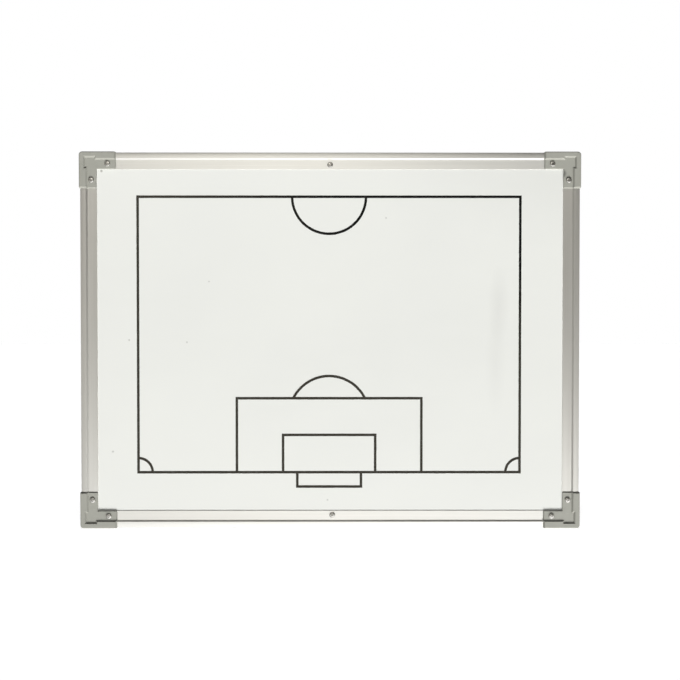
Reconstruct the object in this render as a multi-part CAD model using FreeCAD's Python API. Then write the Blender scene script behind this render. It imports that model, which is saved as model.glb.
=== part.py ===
import FreeCAD, Part
import math
import os

from FreeCAD import Vector

# A football tactics board: a white steel writing panel in an aluminium frame. Four straight
# rails grip the panel by its edges, and a moulded cap with two screws closes each corner.
#
# Millimetres. X runs to the right, Y from front to back and Z up. Every piece is drawn about the
# middle of the board and lifted when it is written, so that the lower caps stand on Z = 0.

# Frame, over the outer faces of its rails.
FRAME_WIDTH = 600.0
FRAME_HEIGHT = 451.0

# Panel: a steel sheet glued on each face of a paper honeycomb with a timber edge.
SHEET_THICKNESS = 0.4
CORE_DEPTH = 9.0
BATTEN_BEYOND_SCREW = 5.0
CELL_PITCH = 28.0
CELL_WALL = 0.8
SMALLEST_CELL_SHARE = 0.1

# Rail: an extrusion with a raised rim, a hollow chamber behind it and a channel for the panel.
RAIL_FACE = 20.0
RAIL_WALL = 0.7
CHAMBER_WIDTH = 4.8
RIM_WIDTH = 6.8
RIM_STEP = 1.7
RIM_STEP_RUN = 2.0
RIM_FALL = 1.2
RIM_OUTER_RADIUS = 0.8
LIP_RADIUS = 0.25

# Corner cap: a moulding that wraps the ends of two rails, with a tongue in each chamber.
CAP_ARM = 44.0
CAP_WALL = 0.9
CAP_FACE_WALL = 1.6
CAP_SHORT_OF_LIP = 0.2
CAP_RIM_STEP = 2.0
CAP_SQUARE_RIM = 7.3
CAP_SQUARE = 11.2
CAP_CORNER_RADIUS = 4.0
CAP_END_RADIUS = 1.4
CAP_OUTER_EDGE_RADIUS = 1.2
CAP_STEP_SLOPE = 1.9
CAP_RIM_END_SLOPE = 1.9
CAP_FACE_END_SLOPE = 1.3
CAP_FACE_EDGE_RADIUS = 0.8
TONGUE_LENGTH = 18.0
TONGUE_ROOT = 1.0

# Screws: pan-head tapping screws, with a tapered cross recess.
SCREW_DIAMETER = 3.0
SCREW_TIP = 2.5
HEAD_DIAMETER = 7.0
HEAD_HEIGHT = 1.75
HEAD_EDGE = 1.4
HEAD_EDGE_RADIUS = 1.25
RECESS_SPAN = 3.9
RECESS_WIDTH = 1.1
RECESS_DEPTH = 1.1
RECESS_TAPER = 0.5
SCREW_FROM_ARM_END = 10.0
CAP_SCREW_OUTWARD = 0.9
MIDDLE_SCREW_INWARD = 0.3
BOTTOM_SCREW_SHIFT = 2.5
TIMBER_UNDER_TIP = 0.7

# Fits between the pieces.
PANEL_EDGE_GAP = 0.3
PANEL_FACE_GAP = 0.05
CAP_GAP = 0.1
RAIL_END_GAP = 0.1
RAIL_CORNER_GAP = 0.1
TONGUE_GAP = 0.15
SCREW_HOLE_GAP = 0.2
SCREW_BITE_GAP = 0.03
SCREW_TIP_GAP = 0.3

# Printed half pitch, between the centres of its lines.
INK_FILM = 0.08
LINE_WIDTH = 3.1
PITCH_SIDE_MARGIN = 50.0
PITCH_TOP_MARGIN = 32.8
PITCH_BOTTOM_MARGIN = 46.4
PITCH_SHIFT = -1.3
CIRCLE_RADIUS = 44.4
PENALTY_WIDTH = 222.6
PENALTY_DEPTH = 89.4
PENALTY_ARC_RADIUS = 48.1
PENALTY_SPOT_INSIDE = 21.3
GOAL_AREA_WIDTH = 111.2
GOAL_AREA_DEPTH = 45.1
GOAL_WIDTH = 76.9
GOAL_DEPTH = 17.4
CORNER_ARC_RADIUS = 17.1

# How far each cross recess happens to be turned, in degrees.
RECESS_TURNS = {
    "top_left_screw_top_rail": 4.0,
    "top_left_screw_left_rail": 88.0,
    "top_right_screw_top_rail": 31.0,
    "top_right_screw_right_rail": 57.0,
    "bottom_left_screw_bottom_rail": 72.0,
    "bottom_left_screw_left_rail": 52.0,
    "bottom_right_screw_bottom_rail": 36.0,
    "bottom_right_screw_right_rail": 20.0,
    "top_middle_screw": 12.0,
    "bottom_middle_screw": 47.0,
}

# Levels are measured to the front and to the back from the middle plane of the panel.
panel_level = CORE_DEPTH / 2 + SHEET_THICKNESS
channel_level = panel_level + PANEL_FACE_GAP
lip_level = channel_level + RAIL_WALL
rim_level = lip_level + RIM_STEP
rim_foot_level = rim_level - RIM_FALL
chamber_level = rim_foot_level - RAIL_WALL
cap_face_level = lip_level + CAP_GAP + CAP_FACE_WALL
cap_rim_level = cap_face_level + CAP_RIM_STEP
screw_length = lip_level + CORE_DEPTH / 2 - TIMBER_UNDER_TIP

# Insets are measured inward from the outer face of a rail.
rim_step_foot = RIM_WIDTH + RIM_STEP_RUN
channel_floor = RAIL_WALL + CHAMBER_WIDTH + RAIL_WALL
panel_inset = channel_floor + PANEL_EDGE_GAP
cap_outer = -(CAP_GAP + CAP_WALL)
cap_inner = RAIL_FACE - CAP_SHORT_OF_LIP
cap_arm_end = cap_outer + CAP_ARM
cap_square_low = cap_outer + CAP_SQUARE_RIM
cap_square_high = cap_square_low + CAP_SQUARE
rail_end = RAIL_FACE + RAIL_CORNER_GAP
cap_screw_along = cap_arm_end - SCREW_FROM_ARM_END
strip_middle = (rim_step_foot + RAIL_FACE) / 2
cap_screw_inset = strip_middle - CAP_SCREW_OUTWARD
middle_screw_inset = strip_middle + MIDDLE_SCREW_INWARD
batten_width = middle_screw_inset + BATTEN_BEYOND_SCREW - panel_inset

panel_width = FRAME_WIDTH - 2 * panel_inset
panel_height = FRAME_HEIGHT - 2 * panel_inset
board_middle_height = FRAME_HEIGHT / 2 - cap_outer

AXIS_Y = Vector(0, 1, 0)
TOLERANCE = 1e-4
FILLET_SHARE = 0.9


def slab(width, height, level_from, level_to):
    """A plate of that width and height about the middle of the board, between two levels."""
    depth = level_to - level_from
    return Part.makeBox(width, depth, height, Vector(-width / 2, -level_to, -height / 2))


def polygon(points, front=0.0):
    """A closed wire through (x, z) points in the plane at that level to the front."""
    corners = [Vector(x, -front, z) for x, z in points]
    return Part.makePolygon(corners + corners[:1])


def rounded_outline(corners):
    """A closed wire through right-angled (x, z, radius) corners, each rounded by its radius."""
    edges = []
    places = [Vector(x, 0, z) for x, z, _ in corners]
    ends = []
    for i, (_, _, radius) in enumerate(corners):
        here = places[i]
        back = (places[i - 1] - here).normalize()
        ahead = (places[(i + 1) % len(places)] - here).normalize()
        first = here + back * radius
        last = here + ahead * radius
        if radius:
            middle = here + (back + ahead) * (radius * (1 - math.sqrt(0.5)))
            edges.append(Part.Arc(first, middle, last).toShape())
        ends.append((first, last))
    for i in range(len(ends)):
        edges.append(Part.LineSegment(ends[i - 1][1], ends[i][0]).toShape())
    return Part.Wire(Part.__sortEdges__(edges))


def prism(wire, level):
    """The wire's face, drawn in the middle plane, carried to that level on both sides."""
    face = Part.Face(wire)
    face.translate(Vector(0, level, 0))
    return face.extrude(Vector(0, -2 * level, 0))


def drill(x, z, diameter, level_from, level_to):
    """A round cutter along Y at (x, z), between two levels."""
    return Part.makeCylinder(diameter / 2, level_to - level_from, Vector(x, -level_to, z), AXIS_Y)


def turned(shape, quarter_turns):
    """A copy turned about Y: the bottom rail becomes the left, top and right one in turn."""
    copy = shape.copy()
    copy.rotate(Vector(0, 0, 0), AXIS_Y, 90 * quarter_turns)
    return copy


# Rails

def rail_outline(gap=0.0):
    """Outline of the bottom rail's section with a gap around it, as a face in the plane X = 0.

    The rim's top is an arc that is level at its inner edge and falls towards the outer face. From
    that edge the section slopes down to the flat strip beside the panel.
    """
    def at(inset, front):
        return Vector(0, -front, inset)

    rim_inner = RIM_WIDTH + gap
    rim_top = rim_level + gap
    rim_foot = rim_foot_level + gap
    lip_top = lip_level + gap
    crown_width = rim_inner + gap
    crown_radius = (crown_width ** 2 + RIM_FALL ** 2) / (2 * RIM_FALL)
    half_way = rim_inner - crown_width / 2
    half_level = rim_top - crown_radius + math.sqrt(crown_radius ** 2 - (crown_width / 2) ** 2)

    def half(side):
        line_points = [at(rim_inner, side * rim_top), at(rim_step_foot + gap, side * lip_top)]
        line_points += [at(RAIL_FACE + gap, side * lip_top)]
        crown = Part.Arc(at(-gap, side * rim_foot), at(half_way, side * half_level), line_points[0])
        return [crown.toShape()] + [
            Part.LineSegment(a, b).toShape() for a, b in zip(line_points, line_points[1:])
        ]

    outer = Part.LineSegment(at(-gap, -rim_foot), at(-gap, rim_foot)).toShape()
    inner = Part.LineSegment(at(RAIL_FACE + gap, -lip_top), at(RAIL_FACE + gap, lip_top)).toShape()
    return Part.Face(Part.Wire(Part.__sortEdges__([outer, inner] + half(1) + half(-1))))


def long_edges(shape, inset, level):
    """The edges of the bottom rail's blank that run along it at that inset, front and back."""
    def lies_there(edge):
        return all(
            abs(v.Z - inset) < TOLERANCE and abs(abs(v.Y) - level) < TOLERANCE for v in edge.Vertexes
        )
    return [edge for edge in shape.Edges if lies_there(edge)]


def rail(frame_length, frame_across, screws):
    """The bottom rail of a frame of that length, with (along, inset) holes in its front lip."""
    length = frame_length - 2 * rail_end
    blank = rail_outline().extrude(Vector(length, 0, 0))
    blank = blank.makeFillet(RIM_OUTER_RADIUS, long_edges(blank, 0.0, rim_foot_level))
    blank = blank.makeFillet(LIP_RADIUS, long_edges(blank, RAIL_FACE, lip_level))
    chamber = Part.makeBox(
        length, 2 * chamber_level, CHAMBER_WIDTH, Vector(0, -chamber_level, RAIL_WALL)
    )
    channel = Part.makeBox(
        length, 2 * channel_level, RAIL_FACE, Vector(0, -channel_level, channel_floor)
    )
    body = blank.cut([chamber, channel])
    body.translate(Vector(-length / 2, 0, 0))
    hole = SCREW_DIAMETER + 2 * SCREW_HOLE_GAP
    body = body.cut([drill(along, inset, hole, 0.0, rim_level) for along, inset in screws])
    body.translate(Vector(0, 0, -frame_across / 2))
    return body


def cap_screw_spots(frame_length):
    """(along, inset) of the two cap screws at the ends of a rail."""
    along = frame_length / 2 - cap_screw_along
    return [(-along, cap_screw_inset), (along, cap_screw_inset)]


def rails():
    """The four rails by name, each drawn as a bottom rail and turned into place."""
    level_spots = cap_screw_spots(FRAME_WIDTH)
    side_spots = cap_screw_spots(FRAME_HEIGHT)
    bottom = level_spots + [(BOTTOM_SCREW_SHIFT, middle_screw_inset)]
    top = level_spots + [(0.0, middle_screw_inset)]
    return {
        "bottom_rail": rail(FRAME_WIDTH, FRAME_HEIGHT, bottom),
        "left_rail": turned(rail(FRAME_HEIGHT, FRAME_WIDTH, side_spots), 1),
        "top_rail": turned(rail(FRAME_WIDTH, FRAME_HEIGHT, top), 2),
        "right_rail": turned(rail(FRAME_HEIGHT, FRAME_WIDTH, side_spots), 3),
    }


# Corner caps

def level_edges(shape, level, chosen):
    """The edges at that level, front and back, whose middle point (x, z) is chosen."""
    found = []
    for edge in shape.Edges:
        middle = edge.valueAt((edge.FirstParameter + edge.LastParameter) / 2)
        flat = all(abs(abs(v.Y) - level) < TOLERANCE for v in edge.Vertexes)
        if flat and abs(abs(middle.y) - level) < TOLERANCE and chosen(middle.x, middle.z):
            found.append(edge)
    return found


def along_both_arms(shape):
    """The shape, drawn for the level arm of the bottom left cap, and its mirror in the upright arm."""
    return [shape, shape.mirror(Vector(0, 0, 0), Vector(1, 0, -1))]


def end_slopes(level, run):
    """Cutters that slope the ends of both arms by that run, at 45 degrees, front and back."""
    tip = cap_arm_end - run
    corners = [Vector(tip, -level, cap_outer), Vector(tip + 2 * run, -level, cap_outer)]
    corners += [Vector(tip + 2 * run, 2 * run - level, cap_outer), corners[0]]
    front = Part.Face(Part.makePolygon(corners)).extrude(Vector(0, 0, cap_inner - cap_outer))
    return along_both_arms(front) + along_both_arms(front.mirror(Vector(0, 0, 0), AXIS_Y))


def cap_blank():
    """The cap's outside: an L at face level, with a raised rim that leaves a square at the corner."""
    low, end, inner = cap_outer, cap_arm_end, cap_inner
    near, far, step = cap_square_low, cap_square_high, rim_step_foot
    face = prism(rounded_outline([
        (low, low, CAP_CORNER_RADIUS), (end, low, CAP_END_RADIUS), (end, inner, CAP_END_RADIUS),
        (inner, inner, 0), (inner, end, CAP_END_RADIUS), (low, end, CAP_END_RADIUS),
    ]), cap_face_level)
    rim = prism(rounded_outline([
        (low, low, CAP_CORNER_RADIUS), (end, low, CAP_END_RADIUS), (end, step, 0), (far, step, 0),
        (far, near, 0), (near, near, 0), (near, far, 0), (step, far, 0), (step, end, 0),
        (low, end, CAP_END_RADIUS),
    ]), cap_rim_level)

    def anywhere(x, z):
        return True

    def outer(x, z):
        return min(x, z) < low + CAP_CORNER_RADIUS / 2 or max(x, z) > end - CAP_END_RADIUS

    def beside_recess(x, z):
        return not outer(x, z)

    most = FILLET_SHARE * CAP_END_RADIUS
    face_radius, outer_radius = min(CAP_FACE_EDGE_RADIUS, most), min(CAP_OUTER_EDGE_RADIUS, most)
    face = face.makeFillet(face_radius, level_edges(face, cap_face_level, anywhere))
    rim = rim.makeChamfer(CAP_STEP_SLOPE, level_edges(rim, cap_rim_level, beside_recess))
    rim = rim.makeFillet(outer_radius, level_edges(rim, cap_rim_level, outer))
    face = face.cut(end_slopes(cap_face_level, CAP_FACE_END_SLOPE))
    rim = rim.cut(end_slopes(cap_rim_level, CAP_RIM_END_SLOPE))
    return face.fuse(rim).removeSplitter()


def cap():
    """The bottom left cap, with the corner of the rails at the origin."""
    slot = rail_outline(CAP_GAP).extrude(Vector(CAP_ARM, 0, 0))
    slot.translate(Vector(rail_end - RAIL_END_GAP, 0, 0))
    reach = cap_arm_end + CAP_ARM
    panel_slot = Part.makeBox(
        reach, 2 * channel_level, reach, Vector(channel_floor, -channel_level, channel_floor)
    )
    hole = SCREW_DIAMETER + 2 * SCREW_HOLE_GAP
    screw_hole = drill(cap_screw_along, cap_screw_inset, hole, 0.0, cap_rim_level)
    tongue_height = CHAMBER_WIDTH - 2 * TONGUE_GAP
    tongue_level = chamber_level - TONGUE_GAP
    tongue = Part.makeBox(
        TONGUE_ROOT + TONGUE_LENGTH, 2 * tongue_level, tongue_height,
        Vector(rail_end - RAIL_END_GAP - TONGUE_ROOT, -tongue_level, RAIL_WALL + TONGUE_GAP),
    )
    body = cap_blank().cut(along_both_arms(slot) + [panel_slot] + along_both_arms(screw_hole))
    return body.fuse(along_both_arms(tongue)).removeSplitter()


def caps():
    """The four caps by name: one moulding, turned into each corner."""
    made = {}
    for quarter, name in enumerate(["bottom_left", "top_left", "top_right", "bottom_right"]):
        across = FRAME_WIDTH if quarter % 2 == 0 else FRAME_HEIGHT
        upright = FRAME_HEIGHT if quarter % 2 == 0 else FRAME_WIDTH
        moulding = cap()
        moulding.translate(Vector(-across / 2, 0, -upright / 2))
        made[name + "_cap"] = turned(moulding, quarter)
    return made


# Screws

def recess_outline(scale, front):
    """The outline of the cross recess at that scale of its span and width."""
    span = RECESS_SPAN / 2 * scale
    half = RECESS_WIDTH / 2 * scale
    quarter = [(span, -half), (span, half), (half, half)]
    points = []
    for turn in range(4):
        c, s = round(math.cos(turn * math.pi / 2)), round(math.sin(turn * math.pi / 2))
        points += [(c * x - s * z, s * x + c * z) for x, z in quarter]
    return polygon(points, front)


def screw():
    """A screw whose head sits on the plane Y = 0 and faces the front, with its shank to the back."""
    head = HEAD_DIAMETER / 2
    shank = SCREW_DIAMETER / 2

    def at(radius, front):
        return Vector(radius, -front, 0)

    def on_head_edge(x, z):
        return math.hypot(x, z) > shank

    dome = HEAD_HEIGHT - HEAD_EDGE
    dome_radius = (head ** 2 + dome ** 2) / (2 * dome)
    half_front = HEAD_HEIGHT - dome_radius + math.sqrt(dome_radius ** 2 - (head / 2) ** 2)
    outline = [
        at(head, HEAD_EDGE), at(head, 0), at(shank, 0), at(shank, SCREW_TIP - screw_length),
        at(0, -screw_length), at(0, HEAD_HEIGHT),
    ]
    edges = [Part.Arc(at(0, HEAD_HEIGHT), at(head / 2, half_front), outline[0]).toShape()]
    edges += [Part.LineSegment(a, b).toShape() for a, b in zip(outline, outline[1:])]
    solid = Part.Face(Part.Wire(Part.__sortEdges__(edges))).revolve(Vector(0, 0, 0), AXIS_Y, 360)
    edge_radius = min(HEAD_EDGE_RADIUS, FILLET_SHARE * HEAD_EDGE)
    solid = solid.makeFillet(edge_radius, level_edges(solid, HEAD_EDGE, on_head_edge))
    recess = Part.makeLoft(
        [recess_outline(1.0, HEAD_HEIGHT), recess_outline(RECESS_TAPER, HEAD_HEIGHT - RECESS_DEPTH)],
        True, True,
    )
    return solid.cut(recess)


def screw_places():
    """Where every screw sits: name to (x, z, level of the face under its head)."""
    x_cap, x_side = FRAME_WIDTH / 2 - cap_screw_along, FRAME_WIDTH / 2 - cap_screw_inset
    z_cap, z_side = FRAME_HEIGHT / 2 - cap_screw_along, FRAME_HEIGHT / 2 - cap_screw_inset
    z_middle = FRAME_HEIGHT / 2 - middle_screw_inset
    places = {
        "top_middle_screw": (0.0, z_middle, lip_level),
        "bottom_middle_screw": (BOTTOM_SCREW_SHIFT, -z_middle, lip_level),
    }
    for row, up in (("top", 1), ("bottom", -1)):
        for column, right in (("left", -1), ("right", 1)):
            stem = f"{row}_{column}_screw"
            places[f"{stem}_{row}_rail"] = (right * x_cap, up * z_side, cap_face_level)
            places[f"{stem}_{column}_rail"] = (right * x_side, up * z_cap, cap_face_level)
    return places


def screws():
    """Every screw by name, with its recess turned as it was left."""
    made = {}
    for name, (x, z, level) in screw_places().items():
        one = screw()
        one.rotate(Vector(0, 0, 0), AXIS_Y, RECESS_TURNS[name])
        one.translate(Vector(x, -level, z))
        made[name] = one
    return made


# Panel

def screw_bores(diameter, tip_gap):
    """A cutter round every shank, deep enough to leave the gap under its tip."""
    return [
        drill(x, z, diameter, level - screw_length - tip_gap, level)
        for x, z, level in screw_places().values()
    ]


def battens():
    """The timber edge: two long battens, and two short ones between them."""
    half = CORE_DEPTH / 2
    bores = screw_bores(SCREW_DIAMETER + 2 * SCREW_BITE_GAP, SCREW_TIP_GAP)
    level = slab(panel_width, batten_width, -half, half)
    upright = slab(batten_width, panel_height - 2 * batten_width, -half, half)
    z = (panel_height - batten_width) / 2
    x = (panel_width - batten_width) / 2
    made = {}
    for name, shape, place in (
        ("top_batten", level, Vector(0, 0, z)), ("bottom_batten", level, Vector(0, 0, -z)),
        ("left_batten", upright, Vector(-x, 0, 0)), ("right_batten", upright, Vector(x, 0, 0)),
    ):
        batten = shape.copy()
        batten.translate(place)
        made[name] = batten.cut(bores)
    return made


def clipped(points, axis, limit, sign):
    """The part of a convex polygon on one side of a line across that axis."""
    kept = []
    for a, b in zip(points, points[1:] + points[:1]):
        inside_a = sign * (limit - a[axis]) >= 0
        inside_b = sign * (limit - b[axis]) >= 0
        if inside_a:
            kept.append(a)
        if inside_a != inside_b:
            t = (limit - a[axis]) / (b[axis] - a[axis])
            kept.append((a[0] + t * (b[0] - a[0]), a[1] + t * (b[1] - a[1])))
    return kept


def area(points):
    """The area of a polygon."""
    pairs = zip(points, points[1:] + points[:1])
    return abs(sum(a[0] * b[1] - b[0] * a[1] for a, b in pairs)) / 2


def honeycomb_cells(width, height):
    """The openings of a hexagon grid that fills that rectangle, cut off at its border."""
    corner_radius = (CELL_PITCH - CELL_WALL) / math.sqrt(3)
    row_step = CELL_PITCH * math.sqrt(3) / 2
    columns = math.ceil(width / CELL_PITCH / 2) + 1
    rows = math.ceil(height / row_step / 2) + 1
    whole = 3 * math.sqrt(3) / 2 * corner_radius ** 2
    x_limit, z_limit = width / 2 - CELL_WALL, height / 2 - CELL_WALL
    cells = []
    for row in range(-rows, rows + 1):
        for column in range(-columns, columns + 1):
            x = (column + row % 2 / 2) * CELL_PITCH
            z = row * row_step
            angles = [math.radians(30 + 60 * k) for k in range(6)]
            cell = [(x + corner_radius * math.cos(a), z + corner_radius * math.sin(a)) for a in angles]
            for axis, limit in ((0, x_limit), (1, z_limit)):
                cell = clipped(clipped(cell, axis, limit, 1), axis, -limit, -1)
            if len(cell) > 2 and area(cell) > SMALLEST_CELL_SHARE * whole:
                cells.append(cell)
    return cells


def honeycomb():
    """The paper honeycomb between the battens: one holed face, carried through the core's depth."""
    width, height = panel_width - 2 * batten_width, panel_height - 2 * batten_width
    x, z = width / 2, height / 2
    outline = polygon([(-x, -z), (x, -z), (x, z), (-x, z)], -CORE_DEPTH / 2)
    openings = [polygon(cell, -CORE_DEPTH / 2) for cell in honeycomb_cells(width, height)]
    face = Part.makeFace([outline] + openings, "Part::FaceMakerBullseye")
    return face.extrude(Vector(0, -CORE_DEPTH, 0))


def writing_sheet():
    """The white front sheet, drilled for the screws."""
    sheet = slab(panel_width, panel_height, panel_level - SHEET_THICKNESS, panel_level)
    return sheet.cut(screw_bores(SCREW_DIAMETER + 2 * SCREW_HOLE_GAP, SCREW_TIP_GAP))


def rear_sheet():
    """The plain rear sheet. The screws stop short of it."""
    return slab(panel_width, panel_height, -panel_level, SHEET_THICKNESS - panel_level)


# Printed half pitch

def bar(x_from, z_from, x_to, z_to):
    """A straight line of ink between two points on one level or upright, with square ends."""
    half = LINE_WIDTH / 2
    left, right = min(x_from, x_to) - half, max(x_from, x_to) + half
    low, high = min(z_from, z_to) - half, max(z_from, z_to) + half
    return Part.Face(polygon([(left, low), (right, low), (right, high), (left, high)], panel_level))


def ring(x, z, radius, start, end):
    """An arc of ink about (x, z) between two angles in degrees, from +X towards +Z."""
    def at(r, degrees):
        a = math.radians(degrees)
        return Vector(x + r * math.cos(a), -panel_level, z + r * math.sin(a))

    inner, outer = radius - LINE_WIDTH / 2, radius + LINE_WIDTH / 2
    middle = (start + end) / 2
    edges = [
        Part.Arc(at(inner, start), at(inner, middle), at(inner, end)).toShape(),
        Part.LineSegment(at(inner, end), at(outer, end)).toShape(),
        Part.Arc(at(outer, end), at(outer, middle), at(outer, start)).toShape(),
        Part.LineSegment(at(outer, start), at(inner, start)).toShape(),
    ]
    return Part.Face(Part.Wire(edges))


def three_sides(x, width, z_open, z_far):
    """Three lines of ink: a box of that width, open where it stands on another line."""
    left, right = x - width / 2, x + width / 2
    return [
        bar(left, z_open, left, z_far), bar(right, z_open, right, z_far), bar(left, z_far, right, z_far)
    ]


def pitch_print():
    """The half pitch as one film of ink: halfway line at the top, goal behind the goal line below."""
    x = PITCH_SHIFT
    half_width = FRAME_WIDTH / 2 - RAIL_FACE - PITCH_SIDE_MARGIN
    left, right = x - half_width, x + half_width
    halfway = FRAME_HEIGHT / 2 - RAIL_FACE - PITCH_TOP_MARGIN
    goal_line = -(FRAME_HEIGHT / 2 - RAIL_FACE - PITCH_BOTTOM_MARGIN)
    spot = goal_line + PENALTY_DEPTH - PENALTY_SPOT_INSIDE
    arc_end = math.degrees(math.asin(PENALTY_SPOT_INSIDE / PENALTY_ARC_RADIUS))
    strokes = [
        bar(left, goal_line, left, halfway), bar(right, goal_line, right, halfway),
        bar(left, halfway, right, halfway), bar(left, goal_line, right, goal_line),
        ring(x, halfway, CIRCLE_RADIUS, 180, 360),
        ring(x, spot, PENALTY_ARC_RADIUS, arc_end, 180 - arc_end),
        ring(left, goal_line, CORNER_ARC_RADIUS, 0, 90),
        ring(right, goal_line, CORNER_ARC_RADIUS, 90, 180),
    ]
    strokes += three_sides(x, PENALTY_WIDTH, goal_line, goal_line + PENALTY_DEPTH)
    strokes += three_sides(x, GOAL_AREA_WIDTH, goal_line, goal_line + GOAL_AREA_DEPTH)
    strokes += three_sides(x, GOAL_WIDTH, goal_line, goal_line - GOAL_DEPTH)
    films = [stroke.extrude(Vector(0, -INK_FILM, 0)) for stroke in strokes]
    return films[0].multiFuse(films[1:]).removeSplitter()


def main():
    """Writes one STEP file for each piece, lifted so that the lower caps stand on Z = 0."""
    pieces = {
        "writing_sheet": writing_sheet(),
        "pitch_print": pitch_print(),
        "honeycomb_core": honeycomb(),
        "rear_sheet": rear_sheet(),
    }
    for group in (battens(), rails(), caps(), screws()):
        pieces.update(group)
    os.makedirs("parts", exist_ok=True)
    for name, shape in pieces.items():
        shape.translate(Vector(0, 0, board_middle_height))
        shape.exportStep(f"parts/{name}.step")


main()
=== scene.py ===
import math

import bpy
import numpy
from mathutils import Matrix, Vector


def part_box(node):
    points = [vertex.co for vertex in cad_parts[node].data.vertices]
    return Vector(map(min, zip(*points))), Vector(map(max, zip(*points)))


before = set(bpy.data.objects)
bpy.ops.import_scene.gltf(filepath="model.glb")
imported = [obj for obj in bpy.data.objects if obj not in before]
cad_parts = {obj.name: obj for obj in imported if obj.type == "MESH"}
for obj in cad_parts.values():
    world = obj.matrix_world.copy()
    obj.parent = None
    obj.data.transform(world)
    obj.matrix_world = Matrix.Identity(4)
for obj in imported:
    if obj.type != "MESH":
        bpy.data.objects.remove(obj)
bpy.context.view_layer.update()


# Timber battens: four planed softwood strips glued between the two sheets along the panel's edge.
# The screws of the frame bite into them. Each is cut along the grain, so the grain runs its length.
EARLY_WOOD = (0.70, 0.55, 0.37, 1.0)
LATE_WOOD = (0.50, 0.34, 0.19, 1.0)
RINGS_ALONG = 7.0
RINGS_ACROSS = 260.0
PORES_TO_A_RING = 6.0
LATE_WOOD_SPAN = (0.42, 0.62)
WOOD_ROUGHNESS = (0.58, 0.78)
GRAIN_DEPTH = 0.0002
MOST_OF_A_NOISE = (0.3, 0.7)


def finish(name):
    """A new material: its node tree, and the shader that makes its surface."""
    material = bpy.data.materials.new(name)
    material.use_nodes = True
    tree = material.node_tree
    return material, tree, tree.nodes["Principled BSDF"]


def feed(tree, node, inputs):
    """Sets a node's inputs, each to a plain value or by the socket that feeds it."""
    for name, value in inputs.items():
        if isinstance(value, bpy.types.NodeSocket):
            tree.links.new(value, node.inputs[name])
        else:
            node.inputs[name].default_value = value


def add(tree, kind, inputs, **settings):
    """A new node of that kind, with these settings and inputs."""
    made = tree.nodes.new("ShaderNode" + kind)
    for setting, value in settings.items():
        setattr(made, setting, value)
    feed(tree, made, inputs)
    return made


def place(tree, stretch=(1.0, 1.0, 1.0)):
    """The point on the object, in metres, with each axis multiplied by its stretch."""
    at = add(tree, "TexCoord", {}).outputs["Object"]
    return add(tree, "Mapping", {"Vector": at, "Scale": stretch}).outputs["Vector"]


def cloud(tree, at, scale=1.0, detail=3.0, roughness=0.5, distortion=0.0):
    """Soft noise from 0 to 1, with that many lumps to a unit of its place."""
    return add(tree, "TexNoise", {
        "Vector": at, "Scale": scale, "Detail": detail, "Roughness": roughness, "Distortion": distortion,
    }).outputs["Fac"]


def spread(tree, value, span, to=(0.0, 1.0)):
    """A value moved in proportion from its span, low to high, to another one, and held inside it."""
    return add(tree, "MapRange", {
        "Value": value, "From Min": span[0], "From Max": span[1], "To Min": to[0], "To Max": to[1],
    }).outputs["Result"]


def tint(tree, share, first, second):
    """The first colour where the share is 0 and the second where it is 1.

    A mix's colours are its inputs 6 and 7 and its output 2, which share their names with other sockets.
    """
    return add(tree, "Mix", {"Factor": share, 6: first, 7: second}, data_type="RGBA").outputs[2]


def relief(tree, height, depth, strength, below=None):
    """A surface pushed in and out by a height of 0 to 1, at most depth metres, on any relief below it."""
    inputs = {"Height": height, "Distance": depth, "Strength": strength}
    if below is not None:
        inputs["Normal"] = below
    return add(tree, "Bump", inputs).outputs["Normal"]


def dress(material, *nodes):
    """Puts the material on these CAD pieces."""
    for name in nodes:
        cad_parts[name].material_slots[0].material = material


def planed_wood(name, stretch):
    """Growth rings as thin drawn-out noise, darker in the late wood, with pores that vary the gloss."""
    material, tree, shader = finish(name)
    at = place(tree, stretch)
    rings = cloud(tree, at, detail=5.0, roughness=0.6, distortion=0.8)
    pores = cloud(tree, at, PORES_TO_A_RING, detail=2.0)
    feed(tree, shader, {
        "Base Color": tint(tree, spread(tree, rings, LATE_WOOD_SPAN), EARLY_WOOD, LATE_WOOD),
        "Roughness": spread(tree, pores, MOST_OF_A_NOISE, WOOD_ROUGHNESS),
        "Normal": relief(tree, rings, GRAIN_DEPTH, strength=0.6),
    })
    return material


level_wood = planed_wood("planed_wood_level", (RINGS_ALONG, RINGS_ACROSS, RINGS_ACROSS))
upright_wood = planed_wood("planed_wood_upright", (RINGS_ACROSS, RINGS_ACROSS, RINGS_ALONG))
dress(level_wood, "top_batten", "bottom_batten")
dress(upright_wood, "left_batten", "right_batten")


# Honeycomb core: kraft paper cells that keep the two sheets apart and the panel light.
# The paper is raw, brown and fibrous, and glued on edge to both sheets.
KRAFT = (0.52, 0.39, 0.25, 1.0)
KRAFT_FIBRE = (0.66, 0.53, 0.37, 1.0)
FIBRES_TO_A_METRE = (300.0, 1400.0, 300.0)
FIBRE_SPAN = (0.35, 0.7)
KRAFT_ROUGHNESS = (0.8, 0.95)
FIBRE_DEPTH = 0.0001

kraft, tree, shader = finish("kraft_paper")
fibres = cloud(tree, place(tree, FIBRES_TO_A_METRE), detail=5.0, roughness=0.7, distortion=1.5)
feed(tree, shader, {
    "Base Color": tint(tree, spread(tree, fibres, FIBRE_SPAN), KRAFT, KRAFT_FIBRE),
    "Roughness": spread(tree, fibres, MOST_OF_A_NOISE, KRAFT_ROUGHNESS),
    "Normal": relief(tree, fibres, FIBRE_DEPTH, strength=0.5),
})
dress(kraft, "honeycomb_core")


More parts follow.
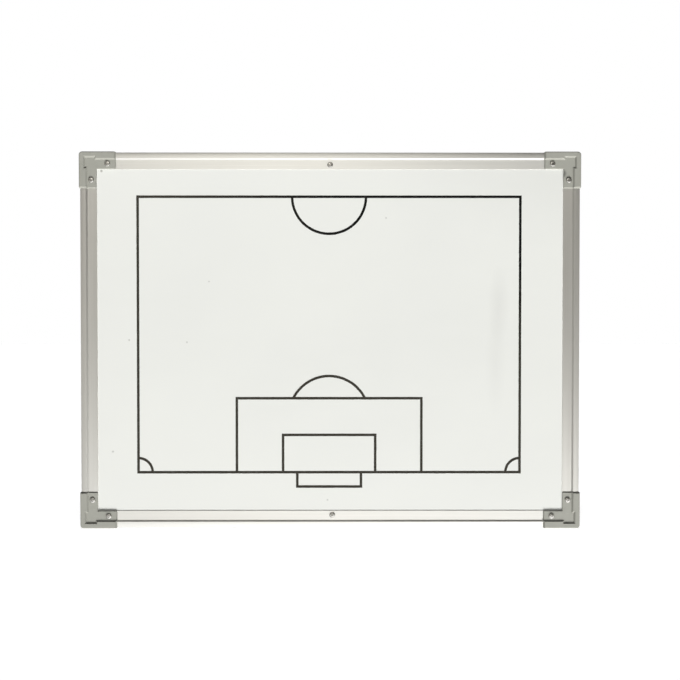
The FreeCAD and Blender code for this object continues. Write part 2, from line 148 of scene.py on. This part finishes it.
# Rear sheet: thin zinc-coated steel, left bare, that closes the panel's back. Its coat froze into
# a spangle of flat crystals, and it has dulled and been scuffed by shelves and walls.
ZINC_DARK = (0.50, 0.51, 0.52, 1.0)
ZINC_LIGHT = (0.68, 0.69, 0.69, 1.0)
CRYSTALS_TO_A_METRE = 95.0
CRYSTAL_FRAY = 0.012
CRYSTAL_FRAYS_TO_A_METRE = 260.0
CRYSTAL_DEPTH = 0.00004
ZINC_ROUGHNESS = (0.34, 0.5)
DULL_PATCHES_TO_A_METRE = 9.0
DULL_SPAN = (0.35, 0.75)
DULL_SHARE = 0.35
ZINC_SCUFFS_TO_A_METRE = (24.0, 24.0, 900.0)
ZINC_SCUFF_SPAN = (0.6, 0.8)
ZINC_SCUFF_SHARE = 0.5


def fray(tree, at, scale, reach):
    """The point moved by noise along each axis, by 0 to reach, so that what it draws turns ragged."""
    noise = add(tree, "TexNoise", {"Vector": at, "Scale": scale, "Detail": 2.0}).outputs["Color"]
    shift = add(tree, "VectorMath", {0: noise, "Scale": reach}, operation="SCALE").outputs["Vector"]
    return add(tree, "VectorMath", {0: at, 1: shift}, operation="ADD").outputs["Vector"]


zinc, tree, shader = finish("zinc_spangle")
at = place(tree)
frayed = fray(tree, at, CRYSTAL_FRAYS_TO_A_METRE, CRYSTAL_FRAY)
crystals = add(tree, "TexVoronoi", {"Vector": frayed, "Scale": CRYSTALS_TO_A_METRE})
facing = add(tree, "SeparateColor", {"Color": crystals.outputs["Color"]}).outputs
dulled = cloud(tree, at, DULL_PATCHES_TO_A_METRE, detail=4.0)
scuffs = cloud(tree, place(tree, ZINC_SCUFFS_TO_A_METRE), detail=4.0, roughness=0.65)
bare = tint(tree, facing["Red"], ZINC_DARK, ZINC_LIGHT)
worn = tint(tree, spread(tree, scuffs, ZINC_SCUFF_SPAN, (0.0, ZINC_SCUFF_SHARE)), bare, ZINC_LIGHT)
feed(tree, shader, {
    "Base Color": tint(tree, spread(tree, dulled, DULL_SPAN, (0.0, DULL_SHARE)), worn, ZINC_DARK),
    "Metallic": 1.0,
    "Roughness": spread(tree, facing["Green"], (0.0, 1.0), ZINC_ROUGHNESS),
    "Normal": relief(tree, facing["Blue"], CRYSTAL_DEPTH, strength=0.5),
})
dress(zinc, "rear_sheet")


# Writing sheet: steel with a baked white enamel, which holds the magnets and wipes clean. The enamel
# has a fine orange peel, the thin sheet is not quite flat, and dark specks sit on it. Two soft tall
# streaks darken its right part, and painted shade greys its upper right corner.
# Each mark is a place in X and Z, how far it reaches along them, and how dark it is.
ENAMEL = (0.825, 0.832, 0.788, 1.0)
ENAMEL_SHADE = (0.800, 0.808, 0.770, 1.0)
SHADES_TO_A_METRE = 5.0
ENAMEL_ROUGHNESS = (0.16, 0.26)
WIPES_TO_A_METRE = (14.0, 14.0, 60.0)
WIPE_SPAN = (0.35, 0.7)
WARPS_TO_A_METRE = 6.5
WARP_DEPTH = 0.0012
PEEL_TO_A_METRE = 700.0
PEEL_DEPTH = 0.00002
# The grey of the specks and of the soft patches; on the wide upper right patch it is painted shade.
SPECK_AND_SHADE_GREY = (0.20, 0.19, 0.17, 1.0)
MARK_FRAY = 0.0016
MARK_FRAYS_TO_A_METRE = 900.0
SPECK_CORE = 0.3
SPECKS = (
    (-0.2420, 0.2270, 0.0017, 0.0017, 0.45),
    (-0.1726, 0.2245, 0.0015, 0.0015, 0.40),
    (-0.1457, 0.2976, 0.0015, 0.0015, 0.35),
    (0.0672, 0.3739, 0.0015, 0.0015, 0.35),
    (-0.2622, 0.0924, 0.0018, 0.0018, 0.42),
    (-0.0033, 0.0339, 0.0016, 0.0016, 0.35),
    (-0.2746, 0.4302, 0.0022, 0.0022, 0.65),
)
# Soft patches: two tall darker streaks on the sheet's right part, and a wide greyer patch at the upper
# right corner, which is painted shade.
STREAK_AND_SHADE_CORE = 0.1
STREAKS_AND_PAINTED_SHADE = (
    (0.2027, 0.2682, 0.0130, 0.0500, 0.085),
    (0.1992, 0.1992, 0.0130, 0.0700, 0.055),
    (0.2842, 0.4342, 0.1800, 0.1000, 0.060),
)


def off_patch(tree, at, centre, reach):
    """How far a point lies from the middle of a rounded patch: 0 there, and 1 at the patch's edge."""
    away = add(tree, "VectorMath", {0: at, 1: centre}, operation="SUBTRACT").outputs["Vector"]
    share = add(tree, "VectorMath", {0: away, 1: reach}, operation="DIVIDE").outputs["Vector"]
    return add(tree, "VectorMath", {0: share}, operation="LENGTH").outputs["Value"]


enamel, tree, shader = finish("white_enamel_gloss")
at = place(tree)
shading = cloud(tree, at, SHADES_TO_A_METRE, detail=4.0)
shade = tint(tree, spread(tree, shading, MOST_OF_A_NOISE), ENAMEL, ENAMEL_SHADE)
ragged = fray(tree, at, MARK_FRAYS_TO_A_METRE, MARK_FRAY)
front_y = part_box("writing_sheet")[0][1]
mean_shift = MARK_FRAY / 2
# Each speck and soft patch darkens the enamel; the wide upper right patch is painted shade.
for core, marks in ((SPECK_CORE, SPECKS), (STREAK_AND_SHADE_CORE, STREAKS_AND_PAINTED_SHADE)):
    for x, z, reach_x, reach_z, darkness in marks:
        centre = (x + mean_shift, front_y + mean_shift, z + mean_shift)
        off = off_patch(tree, ragged, centre, (reach_x, reach_x, reach_z))
        shade = tint(tree, spread(tree, off, (core, 1.0), (darkness, 0.0)), shade, SPECK_AND_SHADE_GREY)
wiped = cloud(tree, place(tree, WIPES_TO_A_METRE), detail=4.0, roughness=0.6)
warp = cloud(tree, at, WARPS_TO_A_METRE, detail=1.0)
peel = cloud(tree, at, PEEL_TO_A_METRE, detail=1.0)
warped = relief(tree, warp, WARP_DEPTH, strength=0.5)
feed(tree, shader, {
    "Base Color": shade,
    "Roughness": spread(tree, wiped, WIPE_SPAN, ENAMEL_ROUGHNESS),
    "Normal": relief(tree, peel, PEEL_DEPTH, strength=0.35, below=warped),
})
dress(enamel, "writing_sheet")


# Half pitch: black ink, screen printed on the enamel and baked with it. The film is thick at the
# upper right. Elsewhere it thins and a warm grey shows through, with small pinholes.
INK_THICK = (0.002, 0.002, 0.0015, 1.0)
INK_THIN = (0.037, 0.0335, 0.026, 1.0)
INK_THICK_AT = (0.17, -0.005, 0.40)
INK_THICK_REACH = (0.36, 1.0, 0.20)
INK_THINS = (0.5, 1.05)
INK_ROUGHNESS = (0.38, 0.52)
INK_SPECULAR = 0.2
INK_DEPTH = 0.00003
PINHOLE = (0.10, 0.10, 0.09, 1.0)
PINHOLES_TO_A_METRE = 420.0
PINHOLE_SPAN = (0.62, 0.78)
PINHOLE_SHARE = 0.35

ink, tree, shader = finish("screen_ink")
at = place(tree)
mottle = cloud(tree, at, PINHOLES_TO_A_METRE)
off_thick = off_patch(tree, at, INK_THICK_AT, INK_THICK_REACH)
film = tint(tree, spread(tree, off_thick, INK_THINS), INK_THICK, INK_THIN)
feed(tree, shader, {
    "Base Color": tint(tree, spread(tree, mottle, PINHOLE_SPAN, (0.0, PINHOLE_SHARE)), film, PINHOLE),
    "Roughness": spread(tree, mottle, MOST_OF_A_NOISE, INK_ROUGHNESS),
    "Normal": relief(tree, mottle, INK_DEPTH, strength=0.4),
    "Specular IOR Level": INK_SPECULAR,
})
dress(ink, "pitch_print")


# Rails: satin anodised aluminium extrusions that hold the panel's edge in a channel. The die left
# fine lines along each rail, so it throws light across them and looks darker along them.
ALUMINIUM = (0.885, 0.88, 0.84, 1.0)
ALUMINIUM_SHADE = (0.80, 0.79, 0.75, 1.0)
BANDS_ALONG = 3.0
BANDS_ACROSS = 260.0
BAND_SHARE = 0.75
THREADS_ALONG = 9.0
THREADS_ACROSS = 2600.0
THREAD_SPAN = (0.4, 0.7)
THREAD_SHARE = 0.35
THREAD_DEPTH = 0.00001
OXIDE_TO_A_METRE = 22.0
OXIDE_SPAN = (0.5, 0.8)
OXIDE_SHARE = 0.3
ALUMINIUM_ROUGHNESS = (0.37, 0.42)
ALONG_X = (1.0, 0.0, 0.0)
ALONG_Z = (0.0, 0.0, 1.0)


def die_lines(tree, along, lumps_along, lumps_across):
    """Noise drawn out along the rail, with so many lumps to a metre along it and across it."""
    stretch = tuple(lumps_along if axis else lumps_across for axis in along)
    return cloud(tree, place(tree, stretch), roughness=0.6)


def satin_aluminium(name, along):
    """Die lines in broad bands and fine threads, with soft blotches of oxide, brushed along the rail."""
    material, tree, shader = finish(name)
    bands = die_lines(tree, along, BANDS_ALONG, BANDS_ACROSS)
    threads = die_lines(tree, along, THREADS_ALONG, THREADS_ACROSS)
    oxide = cloud(tree, place(tree), OXIDE_TO_A_METRE, detail=4.0, roughness=0.6)
    shade = ALUMINIUM
    for lines, span, share in ((bands, MOST_OF_A_NOISE, BAND_SHARE), (threads, THREAD_SPAN, THREAD_SHARE),
                               (oxide, OXIDE_SPAN, OXIDE_SHARE)):
        shade = tint(tree, spread(tree, lines, span, (0.0, share)), shade, ALUMINIUM_SHADE)
    feed(tree, shader, {
        "Base Color": shade,
        "Metallic": 1.0,
        "Roughness": spread(tree, threads, MOST_OF_A_NOISE, ALUMINIUM_ROUGHNESS),
        "Anisotropic": 0.74,
        "Anisotropic Rotation": 0.25,
        "Tangent": add(tree, "CombineXYZ", dict(zip("XYZ", along))).outputs["Vector"],
        "Normal": relief(tree, threads, THREAD_DEPTH, strength=0.25),
    })
    return material


dress(satin_aluminium("satin_aluminium_level", ALONG_X), "top_rail", "bottom_rail")
dress(satin_aluminium("satin_aluminium_upright", ALONG_Z), "left_rail", "right_rail")


# Corner caps: grey moulded plastic, pushed over two rail ends each and held by a screw in either arm.
# The mould was spark-textured matte. Handling has scuffed it a little, and the top right cap is
# darker in a small blot at its inner edge.
CAP_GREY = (0.350, 0.350, 0.307, 1.0)
CAP_GREY_DARK = (0.310, 0.310, 0.270, 1.0)
CAP_ROUGHNESS = (0.34, 0.48)
CAP_SPECULAR = 0.8
FLOW_TO_A_METRE = 38.0
SPARKS_TO_A_METRE = 1500.0
SPARK_SPAN = (0.5, 0.75)
SPARK_SHARE = 0.35
SPARK_DEPTH = 0.00004
CAP_SCUFF = (0.47, 0.47, 0.43, 1.0)
CAP_SCUFFS_TO_A_METRE = (160.0, 160.0, 420.0)
CAP_SCUFF_SPAN = (0.62, 0.8)
CAP_SCUFF_SHARE = 0.5
CAP_DARK_BLOT = (0.10, 0.10, 0.09, 1.0)
DARK_BLOT_AT = (0.2803, -0.0070, 0.4268)
DARK_BLOT_REACH = (0.0034, 0.0040, 0.0056)
DARK_BLOT_FADES = (0.4, 1.1)
DARK_BLOT_SHARE = 0.8

plastic, tree, shader = finish("grey_moulded_plastic")
at = place(tree)
flow = cloud(tree, at, FLOW_TO_A_METRE, detail=4.0)
sparks = cloud(tree, at, SPARKS_TO_A_METRE, detail=2.0, roughness=0.6)
rubbed = cloud(tree, place(tree, CAP_SCUFFS_TO_A_METRE), detail=4.0, roughness=0.65)
# A small dark blot on the top right cap, near its inner edge.
off_dark_blot = off_patch(tree, at, DARK_BLOT_AT, DARK_BLOT_REACH)
moulded = tint(tree, spread(tree, flow, MOST_OF_A_NOISE), CAP_GREY, CAP_GREY_DARK)
textured = tint(tree, spread(tree, sparks, SPARK_SPAN, (0.0, SPARK_SHARE)), moulded, CAP_GREY_DARK)
scuffed = tint(tree, spread(tree, rubbed, CAP_SCUFF_SPAN, (0.0, CAP_SCUFF_SHARE)), textured, CAP_SCUFF)
blotted = tint(tree, spread(tree, off_dark_blot, DARK_BLOT_FADES, (DARK_BLOT_SHARE, 0.0)), scuffed, CAP_DARK_BLOT)
feed(tree, shader, {
    "Base Color": blotted,
    "Roughness": spread(tree, sparks, MOST_OF_A_NOISE, CAP_ROUGHNESS),
    "Normal": relief(tree, sparks, SPARK_DEPTH, strength=0.4),
    "Specular IOR Level": CAP_SPECULAR,
})
dress(plastic, "top_left_cap", "top_right_cap", "bottom_left_cap", "bottom_right_cap")


# Screws: nickel-plated steel, pan heads with a cross recess, two to a cap and one amid each level rail.
# The plating is bright, with a faint haze and small marks from the driver.
NICKEL = (0.62, 0.61, 0.58, 1.0)
NICKEL_HAZE = (0.48, 0.47, 0.44, 1.0)
HAZE_TO_A_METRE = 420.0
HAZE_SPAN = (0.4, 0.75)
DRIVER_MARKS_TO_A_METRE = 2600.0
DRIVER_MARK_SPAN = (0.3, 0.75)
DRIVER_MARK_DEPTH = 0.00002
NICKEL_ROUGHNESS = (0.14, 0.30)

nickel, tree, shader = finish("nickel_plate")
at = place(tree)
haze = cloud(tree, at, HAZE_TO_A_METRE)
driver_marks = cloud(tree, at, DRIVER_MARKS_TO_A_METRE, roughness=0.65)
feed(tree, shader, {
    "Base Color": tint(tree, spread(tree, haze, HAZE_SPAN), NICKEL, NICKEL_HAZE),
    "Metallic": 1.0,
    "Roughness": spread(tree, driver_marks, DRIVER_MARK_SPAN, NICKEL_ROUGHNESS),
    "Normal": relief(tree, driver_marks, DRIVER_MARK_DEPTH, strength=0.3),
})
dress(nickel, *(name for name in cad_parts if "_screw" in name))


# Floor: a pale sheet of studio paper under the board, which shows white and takes the board's soft
# shadow. It glows for the camera alone, and light from the lamps below its level passes it.
FLOOR_REACH = 9.0
FLOOR_PALE = (0.80, 0.80, 0.80, 1.0)
FLOOR_GLOW = 0.45
WHITE = (1.0, 1.0, 1.0, 1.0)


def stage_mesh(name, points, faces):
    """A mesh object through these points, put into the scene."""
    mesh = bpy.data.meshes.new(name)
    mesh.from_pydata(points, [], faces)
    made = bpy.data.objects.new(name, mesh)
    bpy.context.scene.collection.objects.link(made)
    return made


def seen_or_mirrored(tree):
    """1 for rays from the camera and for mirrored or passing rays, and 0 for the rest."""
    ray = add(tree, "LightPath", {}).outputs
    seen = add(tree, "Math", {0: ray["Is Camera Ray"], 1: ray["Is Glossy Ray"]}, operation="MAXIMUM")
    either = add(tree, "Math", {0: seen.outputs[0], 1: ray["Is Transmission Ray"]}, operation="MAXIMUM")
    return either.outputs[0]


floor = stage_mesh("floor", [
    (-FLOOR_REACH, -FLOOR_REACH, 0.0), (FLOOR_REACH, -FLOOR_REACH, 0.0),
    (FLOOR_REACH, FLOOR_REACH, 0.0), (-FLOOR_REACH, FLOOR_REACH, 0.0),
], [(0, 1, 2, 3)])
floor.visible_shadow = False
floor.visible_diffuse = False
floor.visible_glossy = False
paper, tree, shader = finish("studio_paper")
glow = add(tree, "Math", {0: seen_or_mirrored(tree), 1: FLOOR_GLOW}, operation="MULTIPLY").outputs[0]
feed(tree, shader, {
    "Base Color": FLOOR_PALE, "Roughness": 1.0, "Specular IOR Level": 0.0,
    "Emission Color": WHITE, "Emission Strength": glow,
})
floor.data.materials.append(paper)


# Cove: a round studio wall, which only the metal, the enamel and the plastic mirror. It is an even
# pale grey at the sides and behind. Ahead of the board its ground is bright, the room above it dim,
# and a lit patch of wall stands over the camera. Its spans are parts of a direction of length 1.
COVE_REACH = 5.0
COVE_ROWS = 37
COVE_COLUMNS = 73
EVEN_GROUND = 0.72
EVEN_ROOM = 0.45
AHEAD_TO_BEHIND = (-0.15, 0.25)
GROUND_ACROSS = ((-0.8, 0.34), (0.2, 2.0), (0.55, 2.0), (0.85, 0.72))
GROUND_TO_ROOM = (-0.235, -0.015)
ROOM_ACROSS = (
    (-0.97, 0.12), (-0.75, 0.56), (-0.35, 0.42), (-0.1, 0.42),
    (0.24, 0.15), (0.45, 0.15), (0.7, 0.46), (0.97, 0.15),
)
ROOM_TO_OVERHEAD = (0.06, 0.67)
OVERHEAD = 0.025
OVERHEAD_TO_BEHIND = (0.2, 0.6)
LIT_PATCH = 1.88
LIT_PATCH_TOWARDS = (-0.072, -0.909, 0.410)
LIT_PATCH_FADES = (0.10, 0.32)
ROOM_TINT = (1.0, 0.968, 0.90, 1.0)
BLACK = (0.0, 0.0, 0.0, 1.0)


def round_wall(name, reach, rows, columns):
    """A sphere about the origin, by the angle up from the level and the angle round."""
    up, turn = numpy.meshgrid(numpy.linspace(-math.pi / 2, math.pi / 2, rows),
                              numpy.linspace(0.0, 2 * math.pi, columns), indexing="ij")
    level = numpy.cos(up)
    points = reach * numpy.stack([level * numpy.cos(turn), level * numpy.sin(turn), numpy.sin(up)], -1)
    index = numpy.arange(rows * columns).reshape(rows, columns)
    quads = numpy.stack([index[:-1, :-1], index[:-1, 1:], index[1:, 1:], index[1:, :-1]], -1)
    return stage_mesh(name, points.reshape(-1, 3).tolist(), quads.reshape(-1, 4).tolist())


def across(tree, side, levels):
    """A level that runs straight from each of these places to the next, from left to right."""
    level = levels[-1][1]
    for (place_left, level_left), (place_right, _) in reversed(tuple(zip(levels, levels[1:]))):
        level = spread(tree, side, (place_left, place_right), (level_left, level))
    return level


cove = round_wall("cove", COVE_REACH, COVE_ROWS, COVE_COLUMNS)
cove.visible_camera = False
cove.visible_diffuse = False
cove.visible_shadow = False
cove.visible_transmission = False
wall_paint, tree, shader = finish("cove_paint")
towards = add(tree, "VectorMath", {0: place(tree)}, operation="NORMALIZE").outputs["Vector"]
sides = add(tree, "SeparateXYZ", {"Vector": towards}).outputs
ahead = spread(tree, sides["Y"], AHEAD_TO_BEHIND, (1.0, 0.0))
above = spread(tree, sides["Z"], GROUND_TO_ROOM)
ground = spread(tree, ahead, (0.0, 1.0), (EVEN_GROUND, across(tree, sides["X"], GROUND_ACROSS)))
low = spread(tree, ahead, (0.0, 1.0), (EVEN_ROOM, across(tree, sides["X"], ROOM_ACROSS)))
high = spread(tree, sides["Y"], OVERHEAD_TO_BEHIND, (OVERHEAD, EVEN_ROOM))
dim = spread(tree, sides["Z"], ROOM_TO_OVERHEAD, (low, high))
off_lit = add(tree, "VectorMath", {0: towards, 1: LIT_PATCH_TOWARDS}, operation="DISTANCE")
lit = spread(tree, off_lit.outputs["Value"], LIT_PATCH_FADES, (LIT_PATCH, 0.0))
room = add(tree, "Math", {0: dim, 1: lit}, operation="ADD").outputs[0]
feed(tree, shader, {
    "Base Color": BLACK, "Roughness": 1.0, "Specular IOR Level": 0.0,
    "Emission Color": tint(tree, above, WHITE, ROOM_TINT),
    "Emission Strength": spread(tree, above, (0.0, 1.0), (ground, room)),
})
cove.data.materials.append(wall_paint)


# Lamps: a wide, far soft light from below the front and a little to the right, and a weaker one for
# the back. The cove stands in for both of them in the metal. A third falls on the floor alone and
# lays the board's shadow there.
def far_light(name, towards, strength, width):
    """Even light from that direction, as wide as that many degrees."""
    data = bpy.data.lights.new(name, "SUN")
    data.energy = strength
    data.angle = math.radians(width)
    made = bpy.data.objects.new(name, data)
    made.rotation_euler = (-Vector(towards)).to_track_quat("-Z", "Y").to_euler()
    made.visible_glossy = False
    bpy.context.scene.collection.objects.link(made)
    return made


far_light("front_light", towards=(0.12, -0.61, -0.783), strength=4.6, width=28.0)
far_light("back_light", towards=(-0.25, 0.8, -0.5), strength=2.4, width=40.0)
floor_light = far_light("floor_light", towards=(0.0, -0.35, 0.94), strength=1.9, width=14.0)
floor_alone = bpy.data.collections.new("floor_alone")
floor_alone.objects.link(floor)
floor_light.light_linking.receiver_collection = floor_alone


# Room: white where the camera looks past the floor, and dim for the light that it adds.
# It is even all round, so it needs no sampling of its own as a lamp.
ROOM_LIGHT = 0.15
ROOM_SEEN = 1.0

world = bpy.data.worlds.new("white_room")
bpy.context.scene.world = world
world.use_nodes = True
world.cycles.sampling_method = "NONE"
tree = world.node_tree
feed(tree, tree.nodes["Background"], {
    "Color": WHITE,
    "Strength": spread(tree, seen_or_mirrored(tree), (0.0, 1.0), (ROOM_LIGHT, ROOM_SEEN)),
})


# Camera: nearly square on to the board and a little above its middle, at the photograph's distance.
# Its dip and turn are in degrees.
LENS = 61.52
SENSOR_WIDTH = 36.0
CAMERA_AT = (0.0077, -1.4047, 0.2570)
CAMERA_DIP = 1.225
CAMERA_TURN = -0.169

camera_data = bpy.data.cameras.new("camera")
camera_data.lens = LENS
camera_data.sensor_width = SENSOR_WIDTH
camera = bpy.data.objects.new("camera", camera_data)
camera.location = CAMERA_AT
camera.rotation_euler = (math.radians(90.0 - CAMERA_DIP), 0.0, math.radians(CAMERA_TURN))
bpy.context.scene.collection.objects.link(camera)
bpy.context.scene.camera = camera
bpy.context.scene.view_settings.view_transform = "Standard"
